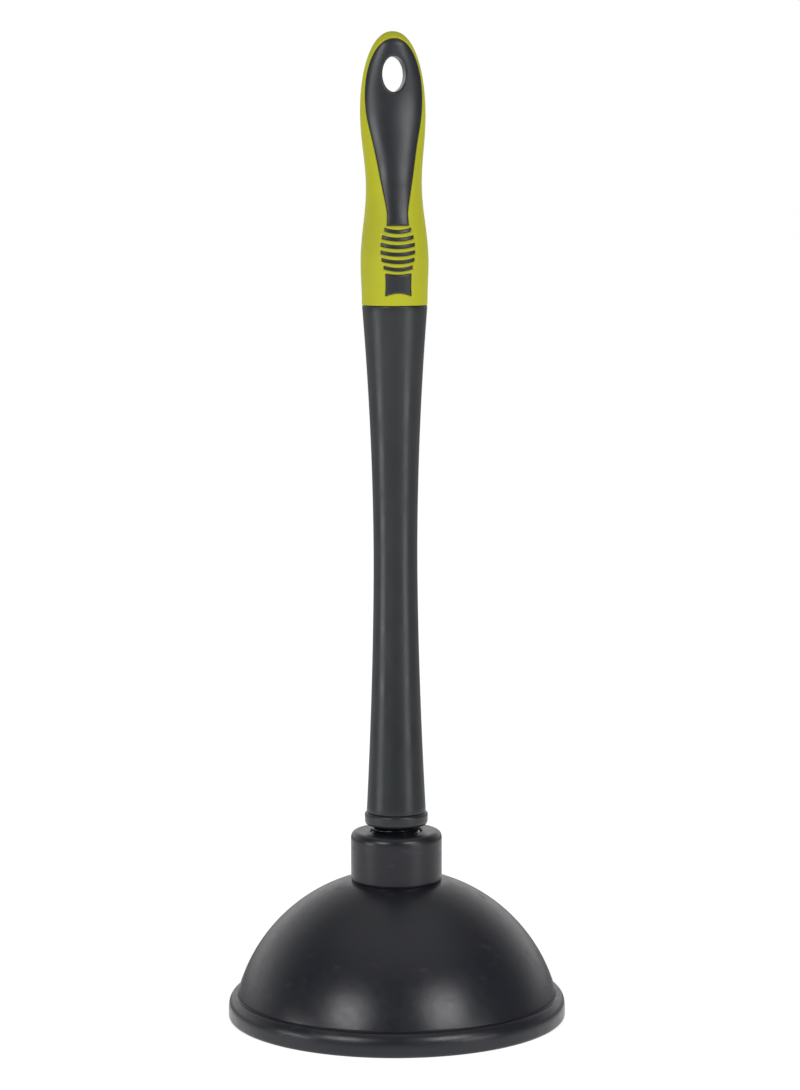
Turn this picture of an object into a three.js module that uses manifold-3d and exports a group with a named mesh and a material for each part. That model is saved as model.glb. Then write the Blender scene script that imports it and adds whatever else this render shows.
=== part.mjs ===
// A sink plunger: a rubber suction cup that screws onto a waisted handle with a two-colour grip.
//
// Millimetres, +Z up. The origin is the centre of the rim's bottom plane, where the plunger stands,
// and the front of the grip looks along -Y. The handle, the grip and the socket each have a group
// of their own, and the dimensions of their pieces are heights above that group's origin.

import * as THREE from 'three';
import Module from 'manifold-3d';
import { ParametricGeometry } from 'three/addons/geometries/ParametricGeometry.js';
import { mergeVertices } from 'three/addons/utils/BufferGeometryUtils.js';

const wasm = await Module();
wasm.setup();

// ---------------------------------------------------------------- driving dimensions

const GAP = 0.3; // clearance between pieces that touch
const ROUND_STEPS = 40; // facets round a large turned piece
const FINE_STEPS = 24; // facets round a small turned piece

// Cup: a spherical bell with a thick band round its rim
const RIM_RADIUS = 75;
const RIM_DRAFT = 0.4; // the band narrows by this much towards its top
const RIM_EDGE = 1.4; // rounding of the band's lower outer edge
const RIM_SHOULDER = 2.2; // rounding of the band's upper outer edge
const RIM_BEVEL = 1; // bevel of the foot's inner edge
const BAND_HEIGHT = 9.4;
const CREASE_Z = 10.6; // where the band's ledge meets the bell
const BELL_RADIUS = 73.6;
const BELL_CENTRE_Z = -8.85;
const BELL_WALL = 4.5;
const BELL_TOP_Z = 61.4;

// Socket: the boss on top of the bell, with a female thread
const SOCKET_Z = BELL_TOP_Z + GAP;
const SOCKET_RADIUS = 20.2;
const SOCKET_HEIGHT = 21.8;
const SOCKET_EDGE = 2.9;
const SOCKET_MOUTH_RADIUS = 11.5;
const SOCKET_MOUTH_DEPTH = 1.2;
const SOCKET_FLOOR = -0.6;
const PAD_RADIUS = 14.7; // the thickened middle that plugs the bell's top
const PAD_BOTTOM = -5.3;

// Thread: coarse and right-handed, male on the stem and female in the socket
const PITCH = 4;
const STEM_RADIUS = 9.6;
const MALE_CREST_RADIUS = 10.8;
const FEMALE_CREST_RADIUS = 10.1;
const FEMALE_ROOT_RADIUS = 11.3;
const TOOTH_ROOT_WIDTH = 2.2;
const TOOTH_CREST_WIDTH = 1;
const RIDGE_OVERLAP = 0.5; // how far the male ridge starts inside the stem
const GROOVE_OVERLAP = 0.8; // how far the female groove starts inside the bore
const THREAD_STEPS_PER_TURN = 16;
const THREAD_RUN_OUT_TURNS = 0.4;

// Handle: its origin is the underside of the ferrule
const HANDLE_Z = 86.3;
const STEM_TIP = -20.8;
const MALE_THREAD_FROM = -18.3;
const MALE_THREAD_TO = -1.1;
const FERRULE_HEIGHT = 5.5;
const FERRULE_RADIUS = 14.05;
const SPIGOT_RADIUS = 10.3;
const SPIGOT_LENGTH = 14.8;
const SPIGOT_BEVEL = 0.8;
const STEM_BORE_RADIUS = 6.5;
const STEM_BORE_FLOOR = -14;

// Shaft: a hollow tube with its waist just above the middle
const SHAFT_FROM = FERRULE_HEIGHT + GAP;
const SHAFT_TO = 229.9;
const WAIST_HEIGHT = 119.7;
const WAIST_RADIUS = 9.65;
const SHAFT_FOOT_RADIUS = 13.15;
const SHAFT_HEAD_RADIUS = 14.3;
const SHAFT_FOOT_POWER = 1.75;
const SHAFT_HEAD_POWER = 1.9;
const SHAFT_BORE_RADIUS = 7.2;
const SHAFT_SOCKET_RADIUS = SPIGOT_RADIUS + GAP;
const SHAFT_SOCKET_DEPTH = 15.6;

// Grip: its origin is the centre of its bottom end, on top of the shaft
const GRIP_Z = SHAFT_TO + GAP;
const GRIP_LENGTH = 118.1;
const GRIP_WIDTHS = [[0, 14.3], [18.5, 14.8], [51.5, 12.15], [82.5, 14.3]]; // [height, half width]
const GRIP_DEPTHS = [[0, 14.3], [18.5, 14.5], [51.5, 11.4], [92.5, 6.5]]; // [height, half depth]
const GRIP_SET_BACKS = [[22.5, 0], [95.5, 5]]; // [height, how far the middle lies behind the axis]
const GRIP_SQUARENESS = [[0, 2], [70.5, 2.25]]; // [height, exponent of the section's superellipse]
const HEAD_FROM = 82.5; // above this height the outline closes in one round end
const HEAD_EXPONENT = 2.15;
const HEAD_EDGE_FROM = 110.5; // above this height the thickness rounds off
const SKIN = 1.8; // thickness of the soft overmoulding

// Windows in the soft skin, where the hard core shows
const PANEL_TOP = 115.1;
const PANEL_WIDEST = 89.5;
const PANEL_HALF_WIDTH = 12.7;
const PANEL_EXPONENT = 2.1;
const PANEL_FLANK = [[12.05, 81], [9.5, 68.2], [6.95, 53.1], [4.7, 40.5], [5, 34.5]]; // [half width, height]
const RIB_COUNT = 6;
const RIB_PITCH = 3.27;
const RIB_FIRST = 15.55;
const RIB_THICKNESS = 1.65;
const RIB_SAG = 1.1;
const RIB_FIELD_CENTRE = 23.6;
const RIB_FIELD_HALF_HEIGHT = 14;
const RIB_FIELD_HALF_WIDTH = 7.9;
const TAIL_TOP = 14;
const TAIL_BOTTOM = 4;
const TAIL_ARCH = 1.4;
const TAIL_HALF_WIDTH = 5.9;

// Hanging eye through the head of the grip
const EYE_HEIGHT = 99.6;
const EYE_HALF_WIDTH = 5.25;
const EYE_HALF_HEIGHT = 7.7;

// ---------------------------------------------------------------- materials

function finish(colour, roughness) {
  return new THREE.MeshStandardMaterial({ color: colour, roughness, metalness: 0 });
}

const MATERIALS = {
  cupRubber: () => finish(0x2b2c30, 0.5),
  shaftPlastic: () => finish(0x3a3d40, 0.42),
  threadPlastic: () => finish(0x101112, 0.2),
  corePlastic: () => finish(0x303236, 0.35),
  softLime: () => finish(0xb8ba36, 0.6),
};

// ---------------------------------------------------------------- solids and curves

// Six times the volume inside a triangle mesh, negative when its faces point inwards.
function signedVolume(positions, corners) {
  const [a, b, c] = [new THREE.Vector3(), new THREE.Vector3(), new THREE.Vector3()];
  let sum = 0;
  for (let i = 0; i < corners.length; i += 3) {
    a.fromArray(positions, 3 * corners[i]);
    b.fromArray(positions, 3 * corners[i + 1]);
    c.fromArray(positions, 3 * corners[i + 2]);
    sum += a.dot(b.cross(c));
  }
  return sum;
}

// A closed three.js geometry as a solid that can be joined and cut.
function solid(geometry) {
  const bare = geometry.clone();
  bare.deleteAttribute('normal');
  bare.deleteAttribute('uv');
  const merged = mergeVertices(bare);
  const corners = merged.index.array;
  const kept = [];
  for (let i = 0; i < corners.length; i += 3) {
    const [a, b, c] = corners.slice(i, i + 3);
    if (a !== b && b !== c && c !== a) kept.push(a, b, c);
  }
  const positions = merged.attributes.position.array;
  if (signedVolume(positions, kept) < 0) kept.reverse();
  const mesh = new wasm.Mesh({
    numProp: 3,
    vertProperties: positions,
    triVerts: new Uint32Array(kept),
  });
  return new wasm.Manifold(mesh);
}

// The surface of a solid as a three.js geometry.
function surface(made) {
  const { vertProperties, triVerts } = made.getMesh();
  const geometry = new THREE.BufferGeometry();
  geometry.setAttribute('position', new THREE.BufferAttribute(vertProperties, 3));
  geometry.setIndex(new THREE.BufferAttribute(triVerts, 1));
  geometry.computeVertexNormals();
  return geometry;
}

// A profile of [radius, height] points turned round the Z axis.
function turned(profile, steps) {
  const points = profile.map(([radius, height]) => new THREE.Vector2(radius, height));
  return new THREE.LatheGeometry(points, steps).rotateX(Math.PI / 2);
}

// A profile that starts and ends at the same point.
function ring(profile) {
  return [...profile, profile[0]];
}

// [radius, height] points of an arc about [radius, height], from one angle to another in degrees.
function arc([radius, height], size, from, to, steps) {
  return Array.from({ length: steps + 1 }, (_, i) => {
    const angle = THREE.MathUtils.degToRad(from + ((to - from) * i) / steps);
    return [radius + size * Math.cos(angle), height + size * Math.sin(angle)];
  });
}

// Blends smoothly between [height, value] stations.
function blend(stations, height) {
  const above = stations.findIndex(([station]) => height <= station);
  if (above === 0) return stations[0][1];
  if (above < 0) return stations[stations.length - 1][1];
  const [[from, start], [to, end]] = [stations[above - 1], stations[above]];
  const share = (height - from) / (to - from);
  return start + ((end - start) * (1 - Math.cos(Math.PI * share))) / 2;
}

// The width left at a share of the way to the round end of a superellipse.
function roundEnd(share, exponent) {
  const along = THREE.MathUtils.clamp(share, 0, 1);
  return (1 - along ** exponent) ** (1 / exponent);
}

// A ridge of trapezoid section that climbs PITCH in each turn and fades out at both ends.
// At angle 0 the middle of the ridge is a whole number of pitches from the height atZero.
function helicalRidge({ base, crest, baseWidth, crestWidth, from, to, atZero }) {
  const section = [[base, -baseWidth], [crest, -crestWidth], [crest, crestWidth], [base, baseWidth]];
  const turns = (to - from) / PITCH;
  const startAngle = ((from - atZero) / PITCH) * 2 * Math.PI;
  const point = (around, along, target) => {
    const [radius, width] = section[Math.round(around * 4) % 4];
    const fromEnd = turns * Math.min(along, 1 - along);
    const size = Math.min(1, fromEnd / THREAD_RUN_OUT_TURNS);
    const angle = startAngle + 2 * Math.PI * turns * along;
    const reach = base + (radius - base) * size;
    const height = from + (to - from) * along + (width / 2) * size;
    target.set(reach * Math.cos(angle), reach * Math.sin(angle), height);
  };
  return solid(new ParametricGeometry(point, 4, Math.ceil(turns * THREAD_STEPS_PER_TURN)));
}

// ---------------------------------------------------------------- cup

function bellRadiusAt(height, inset) {
  return Math.sqrt((BELL_RADIUS - inset) ** 2 - (height - BELL_CENTRE_Z) ** 2);
}

// Points on the bell's outer (inset 0) or inner (inset BELL_WALL) sphere between two heights.
function bellArc(inset, from, to, steps) {
  const size = BELL_RADIUS - inset;
  const angleAt = (height) => THREE.MathUtils.radToDeg(Math.asin((height - BELL_CENTRE_Z) / size));
  return arc([0, BELL_CENTRE_Z], size, angleAt(from), angleAt(to), steps);
}

function rimBand() {
  const topRadius = RIM_RADIUS - RIM_DRAFT;
  const innerFoot = bellRadiusAt(0, BELL_WALL);
  return turned(
    ring([
      [innerFoot + RIM_BEVEL, 0],
      ...arc([RIM_RADIUS - RIM_EDGE, RIM_EDGE], RIM_EDGE, -90, 0, 1),
      ...arc([topRadius - RIM_SHOULDER, BAND_HEIGHT - RIM_SHOULDER], RIM_SHOULDER, 0, 70, 2),
      [bellRadiusAt(CREASE_Z, 0), CREASE_Z],
      ...bellArc(BELL_WALL, CREASE_Z, RIM_BEVEL, 2),
    ]),
    ROUND_STEPS,
  );
}

function bell() {
  const holeRadius = PAD_RADIUS + GAP;
  const size = BELL_RADIUS - BELL_WALL;
  const holeBottom = BELL_CENTRE_Z + Math.sqrt(size ** 2 - holeRadius ** 2);
  return turned(
    ring([
      ...bellArc(0, CREASE_Z + GAP, BELL_TOP_Z, 7),
      [holeRadius, BELL_TOP_Z],
      ...bellArc(BELL_WALL, holeBottom, CREASE_Z + GAP, 6),
    ]),
    ROUND_STEPS,
  );
}

function threadedSocket(threadAtZero) {
  const bevel = 1;
  const aboveTop = SOCKET_HEIGHT + 1;
  const mouthFloor = SOCKET_HEIGHT - SOCKET_MOUTH_DEPTH;
  const boss = turned(
    [
      [0, PAD_BOTTOM],
      [PAD_RADIUS - bevel, PAD_BOTTOM],
      [PAD_RADIUS, PAD_BOTTOM + bevel],
      [PAD_RADIUS, 0],
      [SOCKET_RADIUS, 0],
      ...arc([SOCKET_RADIUS - SOCKET_EDGE, SOCKET_HEIGHT - SOCKET_EDGE], SOCKET_EDGE, 0, 90, 3),
      [0, SOCKET_HEIGHT],
    ],
    FINE_STEPS,
  );
  const bore = turned(
    [
      [0, SOCKET_FLOOR],
      [FEMALE_CREST_RADIUS, SOCKET_FLOOR],
      [FEMALE_CREST_RADIUS, mouthFloor - bevel],
      [SOCKET_MOUTH_RADIUS, mouthFloor],
      [SOCKET_MOUTH_RADIUS, aboveTop],
      [0, aboveTop],
    ],
    FINE_STEPS,
  );
  const groove = helicalRidge({
    base: FEMALE_CREST_RADIUS - GROOVE_OVERLAP,
    crest: FEMALE_ROOT_RADIUS,
    baseWidth: PITCH - TOOTH_CREST_WIDTH + GROOVE_OVERLAP,
    crestWidth: PITCH - TOOTH_ROOT_WIDTH,
    from: SOCKET_FLOOR + TOOTH_ROOT_WIDTH,
    to: SOCKET_HEIGHT + PITCH / 2,
    atZero: threadAtZero,
  });
  return surface(solid(boss).subtract(solid(bore)).subtract(groove));
}

// ---------------------------------------------------------------- handle

function ferrule() {
  const bore = STEM_RADIUS + GAP;
  const lowEdge = 1.6;
  const highEdge = 1;
  return turned(
    ring([
      [bore, 0],
      ...arc([FERRULE_RADIUS - lowEdge, lowEdge], lowEdge, -90, 0, 3),
      ...arc([FERRULE_RADIUS - highEdge, FERRULE_HEIGHT - highEdge], highEdge, 0, 90, 2),
      [bore, FERRULE_HEIGHT],
    ]),
    FINE_STEPS,
  );
}

function threadedStem() {
  const tipBevel = 1.3;
  const step = SPIGOT_RADIUS - STEM_RADIUS;
  const shoulder = SHAFT_FROM - step / 2;
  const top = SHAFT_FROM + SPIGOT_LENGTH;
  const stem = turned(
    [
      [0, STEM_TIP],
      [STEM_RADIUS - tipBevel, STEM_TIP],
      [STEM_RADIUS, STEM_TIP + tipBevel],
      [STEM_RADIUS, shoulder],
      [SPIGOT_RADIUS, shoulder + step],
      [SPIGOT_RADIUS, top - SPIGOT_BEVEL],
      [SPIGOT_RADIUS - SPIGOT_BEVEL, top],
      [STEM_BORE_RADIUS, top],
      [STEM_BORE_RADIUS, STEM_BORE_FLOOR],
      [0, STEM_BORE_FLOOR],
    ],
    FINE_STEPS,
  );
  const ridge = helicalRidge({
    base: STEM_RADIUS - RIDGE_OVERLAP,
    crest: MALE_CREST_RADIUS,
    baseWidth: TOOTH_ROOT_WIDTH + RIDGE_OVERLAP,
    crestWidth: TOOTH_CREST_WIDTH,
    from: MALE_THREAD_FROM,
    to: MALE_THREAD_TO,
    atZero: 0,
  });
  return surface(solid(stem).add(ridge));
}

function shaftRadiusAt(height) {
  if (height < WAIST_HEIGHT) {
    const share = (WAIST_HEIGHT - height) / (WAIST_HEIGHT - SHAFT_FROM);
    return WAIST_RADIUS + (SHAFT_FOOT_RADIUS - WAIST_RADIUS) * share ** SHAFT_FOOT_POWER;
  }
  const share = (height - WAIST_HEIGHT) / (SHAFT_TO - WAIST_HEIGHT);
  return WAIST_RADIUS + (SHAFT_HEAD_RADIUS - WAIST_RADIUS) * share ** SHAFT_HEAD_POWER;
}

function shaftTube() {
  const steps = 14;
  const outside = Array.from({ length: steps + 1 }, (_, i) => {
    const height = SHAFT_FROM + ((SHAFT_TO - SHAFT_FROM) * i) / steps;
    return [shaftRadiusAt(height), height];
  });
  const neck = 4; // height of the cone between a socket and the bore
  return turned(
    ring([
      ...outside,
      [SHAFT_SOCKET_RADIUS, SHAFT_TO],
      [SHAFT_SOCKET_RADIUS, SHAFT_TO - SHAFT_SOCKET_DEPTH],
      [SHAFT_BORE_RADIUS, SHAFT_TO - SHAFT_SOCKET_DEPTH - neck],
      [SHAFT_BORE_RADIUS, SHAFT_FROM + SHAFT_SOCKET_DEPTH + neck],
      [SHAFT_SOCKET_RADIUS, SHAFT_FROM + SHAFT_SOCKET_DEPTH],
      [SHAFT_SOCKET_RADIUS, SHAFT_FROM],
    ]),
    FINE_STEPS,
  );
}

// ---------------------------------------------------------------- grip

// Half the grip's width, measured inset millimetres below its surface.
function gripHalfWidth(height, inset) {
  const width = blend(GRIP_WIDTHS, height) - inset;
  const share = (height - HEAD_FROM) / (GRIP_LENGTH - inset - HEAD_FROM);
  return width * roundEnd(share, HEAD_EXPONENT);
}

function gripHalfDepth(height, inset) {
  const depth = blend(GRIP_DEPTHS, height) - inset;
  const share = (height - HEAD_EDGE_FROM) / (GRIP_LENGTH - inset - HEAD_EDGE_FROM);
  return depth * roundEnd(share, 2);
}

// The grip's outer form, inset by some millimetres, closed by a flat bottom at a given height.
function gripForm(inset, bottom) {
  const steps = 28;
  const stations = 24;
  const top = GRIP_LENGTH - inset;
  const point = (around, up, target) => {
    const station = Math.round(up * stations);
    const rise = Math.sin((Math.PI / 2) * Math.max(0, (station - 1) / (stations - 1)));
    const height = bottom + (top - bottom) * rise;
    const setBack = blend(GRIP_SET_BACKS, height);
    const power = 2 / blend(GRIP_SQUARENESS, height);
    const open = station === 0 ? 0 : 1;
    const [cos, sin] = [Math.cos(2 * Math.PI * around), Math.sin(2 * Math.PI * around)];
    const x = gripHalfWidth(height, inset) * Math.sign(cos) * Math.abs(cos) ** power * open;
    const y = gripHalfDepth(height, inset) * Math.sign(sin) * Math.abs(sin) ** power * open;
    target.set(x, setBack + y, height);
  };
  return solid(new ParametricGeometry(point, steps, stations));
}

// An outline drawn in the grip's front view, cut right through it from front to back.
function through(shape, curveSegments) {
  const reach = 60;
  const options = { depth: reach, bevelEnabled: false, curveSegments };
  const geometry = new THREE.ExtrudeGeometry(shape, options);
  return solid(geometry.rotateX(Math.PI / 2).translate(0, reach / 2, 0));
}

// The window round the eye that narrows to a tongue, drawn inset by some millimetres.
function panelOutline(inset) {
  const crown = 7;
  const right = PANEL_FLANK.map(([half, height]) => [half - inset, height]);
  right[right.length - 1][1] += inset;
  const flank = new THREE.SplineCurve(
    [[PANEL_HALF_WIDTH - inset, PANEL_WIDEST], ...right].map(([x, z]) => new THREE.Vector2(x, z)),
  ).getPoints(9);
  const head = Array.from({ length: crown }, (_, i) => {
    const share = Math.sin((Math.PI / 2) * ((i + 1) / crown));
    const half = (PANEL_HALF_WIDTH - inset) * roundEnd(share, PANEL_EXPONENT);
    return new THREE.Vector2(half, PANEL_WIDEST + (PANEL_TOP - inset - PANEL_WIDEST) * share);
  });
  const rightSide = [...flank.reverse(), ...head];
  const leftSide = rightSide.slice(0, -1).reverse().map(({ x, y }) => new THREE.Vector2(-x, y));
  return new THREE.Shape([...rightSide, ...leftSide]);
}

// One smiling slot between two soft ribs.
function ribOutline(index) {
  const middle = RIB_FIRST + RIB_PITCH * index;
  const share = (middle + RIB_SAG / 2 - RIB_FIELD_CENTRE) / RIB_FIELD_HALF_HEIGHT;
  const half = RIB_FIELD_HALF_WIDTH * Math.sqrt(1 - share ** 2);
  const [low, high] = [middle - RIB_THICKNESS / 2, middle + RIB_THICKNESS / 2];
  const shape = new THREE.Shape();
  shape.moveTo(-half, low + RIB_SAG);
  shape.quadraticCurveTo(0, low - RIB_SAG, half, low + RIB_SAG);
  shape.lineTo(half, high + RIB_SAG);
  shape.quadraticCurveTo(0, high - RIB_SAG, -half, high + RIB_SAG);
  return shape;
}

// The short window below the ribs, with an arched bottom edge.
function tailOutline(inset) {
  const half = TAIL_HALF_WIDTH - inset;
  const [low, high] = [TAIL_BOTTOM + inset, TAIL_TOP - inset];
  const shape = new THREE.Shape();
  shape.moveTo(-half, low);
  shape.quadraticCurveTo(0, low + 2 * TAIL_ARCH, half, low);
  shape.quadraticCurveTo(half - 0.5, (low + high) / 2, half, high);
  shape.quadraticCurveTo(0, high - RIB_SAG, -half, high);
  shape.quadraticCurveTo(-half + 0.5, (low + high) / 2, -half, low);
  return shape;
}

function eyeOutline() {
  const shape = new THREE.Shape();
  shape.absellipse(0, EYE_HEIGHT, EYE_HALF_WIDTH, EYE_HALF_HEIGHT, 0, 2 * Math.PI);
  return shape;
}

function gripCore() {
  const insideCore = 1;
  const spigot = turned(
    [
      [0, -SPIGOT_LENGTH],
      [SPIGOT_RADIUS - SPIGOT_BEVEL, -SPIGOT_LENGTH],
      [SPIGOT_RADIUS, SPIGOT_BEVEL - SPIGOT_LENGTH],
      [SPIGOT_RADIUS, insideCore],
      [0, insideCore],
    ],
    FINE_STEPS,
  );
  const windows = through(panelOutline(GAP), 4).add(through(tailOutline(GAP), 4));
  const raised = gripForm(0, 0).intersect(windows);
  const made = gripForm(SKIN + GAP, 0).add(raised).add(solid(spigot));
  return surface(made.subtract(through(eyeOutline(), 6)));
}

function gripSkin() {
  let made = gripForm(0, 0).subtract(gripForm(SKIN, -1));
  made = made.subtract(through(panelOutline(0), 4)).subtract(through(tailOutline(0), 4));
  for (let index = 0; index < RIB_COUNT; index += 1) {
    made = made.subtract(through(ribOutline(index), 4));
  }
  return surface(made);
}

// ---------------------------------------------------------------- assembly

function piece(name, geometry, material) {
  const mesh = new THREE.Mesh(geometry, material());
  mesh.name = name;
  return mesh;
}

const socket = new THREE.Group();
socket.position.z = SOCKET_Z;
socket.add(piece('cup_socket', threadedSocket(HANDLE_Z - SOCKET_Z), MATERIALS.cupRubber));

const cup = new THREE.Group();
cup.add(piece('cup_rim', rimBand(), MATERIALS.cupRubber));
cup.add(piece('cup_bell', bell(), MATERIALS.cupRubber));
cup.add(socket);

const grip = new THREE.Group();
grip.position.z = GRIP_Z;
grip.add(piece('grip_core', gripCore(), MATERIALS.corePlastic));
grip.add(piece('grip_skin', gripSkin(), MATERIALS.softLime));

const handle = new THREE.Group();
handle.position.z = HANDLE_Z;
handle.add(piece('ferrule', ferrule(), MATERIALS.shaftPlastic));
handle.add(piece('threaded_stem', threadedStem(), MATERIALS.threadPlastic));
handle.add(piece('shaft_tube', shaftTube(), MATERIALS.shaftPlastic));
handle.add(grip);

const plunger = new THREE.Group();
plunger.add(cup);
plunger.add(handle);

export default plunger;
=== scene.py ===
"""A sink plunger: a satin black rubber cup screwed onto a charcoal handle with a two-colour grip.

Lengths are in metres, in the CAD model's frame: +Z up, the rim's bottom plane at Z = 0, and the front
of the grip towards -Y. Every visible surface is made here, finer than the CAD solid that it stands for.
"""

import math

import bmesh
import bpy
import numpy as np
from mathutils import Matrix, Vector


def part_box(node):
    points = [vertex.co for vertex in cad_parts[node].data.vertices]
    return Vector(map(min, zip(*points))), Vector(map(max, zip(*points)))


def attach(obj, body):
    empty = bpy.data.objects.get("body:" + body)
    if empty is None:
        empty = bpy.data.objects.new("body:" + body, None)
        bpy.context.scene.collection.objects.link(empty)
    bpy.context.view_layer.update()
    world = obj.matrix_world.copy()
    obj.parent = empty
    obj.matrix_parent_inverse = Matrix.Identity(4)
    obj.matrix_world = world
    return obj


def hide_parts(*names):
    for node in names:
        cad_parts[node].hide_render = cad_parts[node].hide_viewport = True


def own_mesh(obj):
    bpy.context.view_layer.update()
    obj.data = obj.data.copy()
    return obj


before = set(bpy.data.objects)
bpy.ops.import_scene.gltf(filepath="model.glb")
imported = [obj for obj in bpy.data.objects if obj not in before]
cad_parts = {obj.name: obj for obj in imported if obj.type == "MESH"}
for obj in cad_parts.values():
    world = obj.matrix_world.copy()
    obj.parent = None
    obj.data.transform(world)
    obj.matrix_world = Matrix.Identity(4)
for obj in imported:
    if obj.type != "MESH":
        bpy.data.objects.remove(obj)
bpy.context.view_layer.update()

MM = 0.001

# ---------------------------------------------------------------- places, from the CAD frame

RIM_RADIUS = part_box("cup_rim")[1].x
CREASE_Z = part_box("cup_rim")[1].z
SOCKET_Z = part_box("cup_bell")[1].z
SOCKET_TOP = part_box("cup_socket")[1].z
SOCKET_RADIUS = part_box("cup_socket")[1].x
PAD_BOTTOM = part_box("cup_socket")[0].z
HANDLE_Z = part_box("ferrule")[0].z
FERRULE_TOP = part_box("ferrule")[1].z
FERRULE_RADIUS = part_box("ferrule")[1].x
STEM_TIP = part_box("threaded_stem")[0].z
STEM_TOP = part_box("threaded_stem")[1].z
SHAFT_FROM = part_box("shaft_tube")[0].z
SHAFT_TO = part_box("shaft_tube")[1].z
GRIP_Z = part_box("grip_skin")[0].z
GRIP_TOP = (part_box("grip_skin")[1].z - GRIP_Z) / MM

# ---------------------------------------------------------------- the rest of the shape

BELL_RADIUS = 73.6 * MM
BELL_CENTRE_Z = -8.85 * MM
BELL_WALL = 4.5 * MM
BELL_TUCK = 0.9 * MM  # how far the bell runs down into the rim band
BELL_UNDER_SOCKET = 1.4 * MM  # how far its top runs in under the socket
DISH_REACH = 4.6 * MM  # the bell is dished this far round the socket
DISH_DEPTH = 0.7 * MM
DISH_STEPS = 14
BELL_OUTER_STEPS = 52
BELL_INNER_STEPS = 40
PAD_RADIUS = 14.7 * MM
PAD_GAP = 0.3 * MM

LEDGE_Z = CREASE_Z - 0.5 * MM  # the ledge between the rim band's shoulder and the bell
LIP_Z = CREASE_Z - 0.1 * MM  # the lip inside the bell's wall
LIP_SLOPE = 0.4 * MM
LIP_TUCK = 0.6 * MM
RIM_LEAN_FROM = 2.2 * MM  # the height from which the rim band leans in
RIM_LEAN_TO = LEDGE_Z - 0.2 * MM
RIM_LEAN = 1.9 * MM
RIM_LEAN_POWER = 4
RIM_LEAN_STEPS = 22
RIM_INNER_GAP = 0.1 * MM
RIM_INNER_EDGE = 0.9 * MM
RIM_OUTER_EDGE = 1.2 * MM
RIM_INSIDE_BULGE = 0.45 * MM
LEDGE_CORNER = 0.3 * MM
LEDGE_EDGE = 0.25 * MM
CREASE_FILLET = 0.16 * MM
FILLET_REACH = 0.25 * MM
FILLET_LEAN = 0.05 * MM

PITCH = 4 * MM
STEM_RADIUS = 9.6 * MM
STEM_BORE_RADIUS = 6.5 * MM
MALE_HEIGHT = 1.15 * MM
MALE_FROM = STEM_TIP + 1.6 * MM
MALE_TO = HANDLE_Z - 0.2 * MM
FEMALE_CREST_RADIUS = 10.1 * MM
FEMALE_DEPTH = 1.2 * MM
SOCKET_FLOOR = SOCKET_Z - 0.3 * MM
SOCKET_MOUTH_RADIUS = 11.5 * MM
SOCKET_MOUTH_Z = SOCKET_TOP - 1.2 * MM
SOCKET_MOUTH_EDGE = 0.95 * MM
SOCKET_CHAMFER_EDGE = 0.3 * MM
SOCKET_SHOULDER = 3.3 * MM
SOCKET_FOOT = SOCKET_Z - 0.5 * MM
SOCKET_FOOT_EDGE = 1.6 * MM
PAD_EDGE = 1 * MM
FEMALE_ROOT_WIDTH = PITCH - 1 * MM
FEMALE_CREST_WIDTH = PITCH - 2.2 * MM
FEMALE_FADE = 1.2 * MM
FEMALE_MARGIN = 1 * MM  # the plain bore below and above the thread
MALE_ROOT_WIDTH = 2.4 * MM
MALE_CREST_WIDTH = 0.7 * MM
MALE_FADE = 1.4 * MM
STEM_BORE_FROM = HANDLE_Z - 14 * MM
STEM_TIP_EDGE = 1.2 * MM
STEM_BORE_EDGE = 0.4 * MM
SPIGOT_STEP_FROM = SHAFT_FROM + 0.1 * MM
SPIGOT_STEP_TO = SHAFT_FROM + 0.4 * MM
SPIGOT_STEP_EDGE = 0.2 * MM
SPIGOT_EDGE = 0.7 * MM

FERRULE_FOOT_RADIUS = FERRULE_RADIUS - 0.15 * MM
FERRULE_LOW_EDGE = 1.9 * MM
FERRULE_HIGH_EDGE = 1.1 * MM
FERRULE_NECK_Z = SHAFT_FROM - 0.08 * MM
FERRULE_NECK_INSET = 0.3 * MM
FERRULE_BORE_CLEARANCE = 0.1 * MM

WAIST_Z = HANDLE_Z + 119.7 * MM
WAIST_RADIUS = 9.65 * MM
SHAFT_FOOT_RADIUS = 13.15 * MM
SHAFT_HEAD_RADIUS = 14.3 * MM
SHAFT_FOOT_POWER = 1.75
SHAFT_HEAD_POWER = 1.9
SHAFT_BORE_RADIUS = 7.2 * MM
SHAFT_SOCKET_CLEARANCE = 0.15 * MM
SHAFT_SOCKET_DEPTH = 15.6 * MM
SHAFT_NECK = 4 * MM
SHAFT_EDGE = 0.25 * MM
SHAFT_ROWS = 90
SPIGOT_RADIUS = 10.3 * MM
SPIGOT_LENGTH = 14.8 * MM

# Grip, in millimetres above its bottom end
GRIP_WIDTHS = [(0, 14.3), (18.5, 14.8), (51.5, 12.15), (82.5, 14.3)]  # (height, half width)
GRIP_DEPTHS = [(0, 14.3), (18.5, 14.5), (51.5, 11.4), (92.5, 6.5)]  # (height, half depth)
GRIP_SET_BACKS = [(22.5, 0), (95.5, 5)]  # (height, how far the middle lies behind the axis)
GRIP_SQUARENESS = [(0, 2), (70.5, 2.25)]  # (height, exponent of the section's superellipse)
HEAD_FROM = 82.5
HEAD_EXPONENT = 2.15
HEAD_EDGE_FROM = 111.8
SKIN = 1.8
WINDOW_EDGE = 0.35  # rounding of the skin's edge round the panel and the tail
RIB_EDGE = 0.5  # and round the slots between the ribs
PANEL_RECESS = 0.03
PANEL_EDGE = 0.3
PANEL_CROWN = 0.25
PANEL_CROWN_REACH = 3.5
SLOT_DEPTH = 0.85
CORE_CLEARANCE = 0.1

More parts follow.
